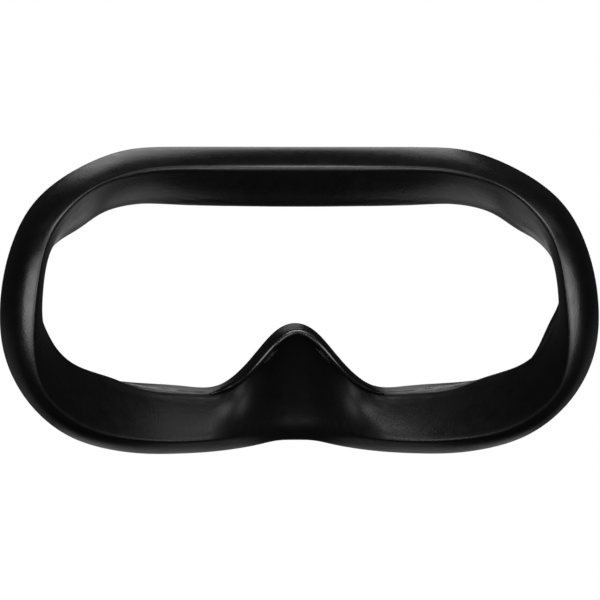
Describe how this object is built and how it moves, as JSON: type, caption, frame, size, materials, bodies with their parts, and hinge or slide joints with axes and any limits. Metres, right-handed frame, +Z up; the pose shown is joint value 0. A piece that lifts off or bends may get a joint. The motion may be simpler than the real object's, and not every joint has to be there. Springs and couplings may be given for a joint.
{
  "type": "goggle face pad",
  "caption": "Leatherette-covered foam face pad for first-person-view goggles, a wide ring with a nose arch and loop strips on its back.",
  "frame": {"origin": "middle of the pad's width, depth and height", "axes": "+X across the face to the viewer's right when seen from the wearer's side, +Y away from the wearer into the goggles, +Z up"},
  "size_m": [0.182, 0.0516, 0.095],
  "materials": {
    "leatherette": "fine-grained black polyurethane leatherette with a soft sheen",
    "piping": "smooth black edge piping, a little glossier than the cover",
    "thread": "twisted black polyester thread",
    "soft_foam": "open-cell polyurethane foam",
    "base_foam": "firm closed-cell foam",
    "adhesive": "dried contact adhesive",
    "board": "thin matte polypropylene sheet",
    "lining": "dark knitted nylon lining",
    "loop_fabric": "brushed loop pile on a woven tape"
  },
  "bodies": {
    "root": {"outer_wall_cover": "leatherette", "contact_cover": "leatherette", "inner_wall_cover": "leatherette", "lip_piping": "piping", "seam_thread": "thread", "brow_foam": "soft_foam", "cheek_foam_left": "soft_foam", "cheek_foam_right": "soft_foam", "nose_foam": "soft_foam", "foam_bond_film": "adhesive", "base_foam": "base_foam", "board_bond_film": "adhesive", "backing_board": "board", "rear_lining": "lining", "brow_loop_strip": "loop_fabric", "temple_loop_strip_left": "loop_fabric", "temple_loop_strip_right": "loop_fabric", "cheek_loop_strip_left": "loop_fabric", "cheek_loop_strip_right": "loop_fabric", "nose_loop_strip_left": "loop_fabric", "nose_loop_strip_right": "loop_fabric", "loop_strip_stitching": "thread"}
  },
  "joints": []
}
